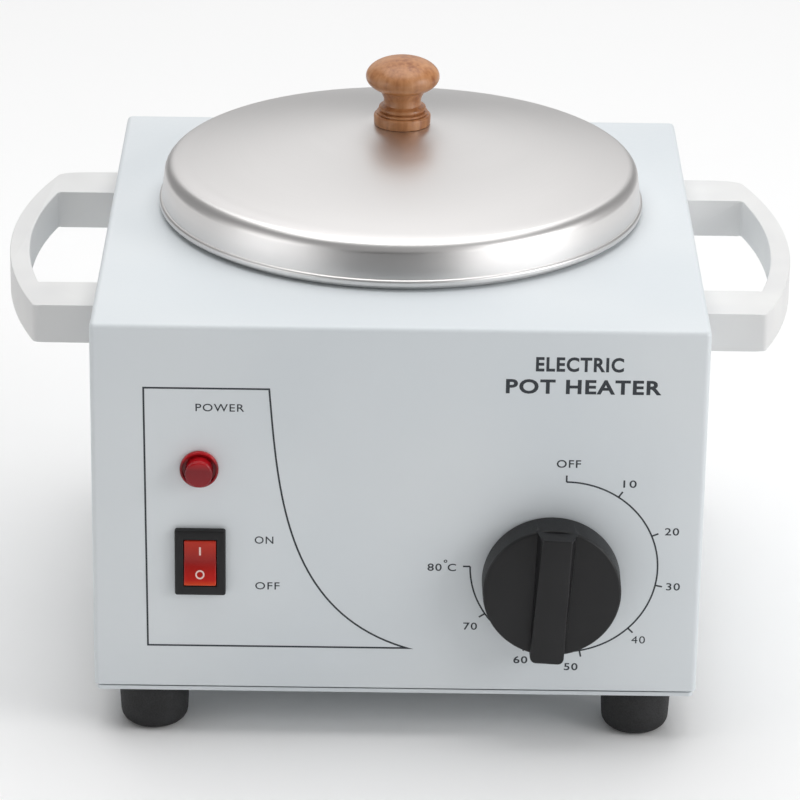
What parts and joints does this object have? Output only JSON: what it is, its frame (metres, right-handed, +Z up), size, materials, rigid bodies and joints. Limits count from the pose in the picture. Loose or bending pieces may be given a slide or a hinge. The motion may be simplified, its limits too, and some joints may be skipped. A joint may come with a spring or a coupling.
{
  "type": "wax warmer pot",
  "caption": "Square steel-cased electric wax warmer with a lift-out aluminium pot, spun lid with wooden knob, side handles, thermostat dial, pilot lamp and rocker switch.",
  "frame": {"origin": "on the ground under the feet, at the middle of the footprint", "axes": "+X to the right seen from the controls, +Y to the back, +Z up"},
  "size_m": [0.2426, 0.215, 0.1809],
  "materials": {
    "powder_coated_steel": "cool white powder coat, satin",
    "black_rubber": "moulded, matte",
    "white_plastic": "moulded, satin",
    "zinc_steel": "zinc plated",
    "pot_aluminium": "spun, plain",
    "lid_aluminium": "spun, satin",
    "turned_wood": "turned beech, clear lacquer",
    "mica_heater": "mica sheet, matt",
    "ceramic_fibre": "ceramic fibre blanket",
    "ceramic": "unglazed steatite",
    "black_nylon": "moulded nylon, satin",
    "brass": "plain",
    "black_plastic": "moulded, satin",
    "red_lens": "translucent red plastic",
    "red_rocker": "translucent red plastic, gloss",
    "wire_insulation": "silicone sleeve"
  },
  "bodies": {
    "housing": {"case_shell": "powder_coated_steel", "base_plate": "powder_coated_steel", "foot_front_left": "black_rubber", "foot_front_right": "black_rubber", "foot_rear_left": "black_rubber", "foot_rear_right": "black_rubber", "foot_screw_front_left": "zinc_steel", "foot_screw_front_right": "zinc_steel", "foot_screw_rear_left": "zinc_steel", "foot_screw_rear_right": "zinc_steel", "base_screw_front_left": "zinc_steel", "base_screw_front_right": "zinc_steel", "base_screw_rear_left": "zinc_steel", "base_screw_rear_right": "zinc_steel", "handle_left": "white_plastic", "handle_screw_left_front": "zinc_steel", "handle_screw_left_rear": "zinc_steel", "handle_right": "white_plastic", "handle_screw_right_front": "zinc_steel", "handle_screw_right_rear": "zinc_steel", "heating_well": "pot_aluminium", "heater_band": "mica_heater", "insulation_sleeve": "ceramic_fibre", "heater_clamp_screw": "zinc_steel", "heater_post_left": "ceramic", "heater_post_right": "ceramic", "thermal_cutout": "black_nylon", "thermostat_body": "ceramic", "thermostat_screw_left": "zinc_steel", "thermostat_screw_right": "zinc_steel", "thermostat_terminal_left": "brass", "thermostat_terminal_right": "brass", "switch_housing": "black_plastic", "switch_terminal_lower": "brass", "switch_terminal_middle": "brass", "switch_terminal_upper": "brass", "lamp_lens": "red_lens", "lamp_nut": "black_nylon", "lamp_cap": "black_nylon", "cord_gland": "black_nylon", "gland_nut": "black_nylon", "terminal_block": "ceramic", "earth_screw": "brass", "sensor_bulb": "brass", "bulb_clip": "zinc_steel", "wire_line": "wire_insulation", "wire_switched": "wire_insulation", "wire_heater_live": "wire_insulation", "wire_heater_neutral": "wire_insulation", "wire_lamp": "wire_insulation", "wire_earth": "wire_insulation"},
    "pot": {"wax_pot": "pot_aluminium"},
    "lid": {"lid": "lid_aluminium", "lid_knob": "turned_wood", "lid_screw": "zinc_steel"},
    "rocker": {"rocker": "red_rocker"},
    "control_knob": {"thermostat_shaft": "zinc_steel", "control_knob": "black_plastic"}
  },
  "joints": [
    {"name": "pot_lift", "type": "slide", "parent": "housing", "child": "pot", "axis": [0, 0, 1], "range_m": [0, 0.085]},
    {"name": "lid_lift", "type": "slide", "parent": "pot", "child": "lid", "axis": [0, 0, 1], "range_m": [0, 0.06]},
    {"name": "rocker_switch", "type": "hinge", "parent": "housing", "child": "rocker", "pos_m": [-0.0581, -0.0925, 0.0582], "axis": [1, 0, 0], "range_deg": [0, 18]},
    {"name": "thermostat_dial", "type": "hinge", "parent": "housing", "child": "control_knob", "pos_m": [0.0456, -0.0925, 0.0535], "axis": [0, 1, 0], "range_deg": [-183, 87]}
  ]
}
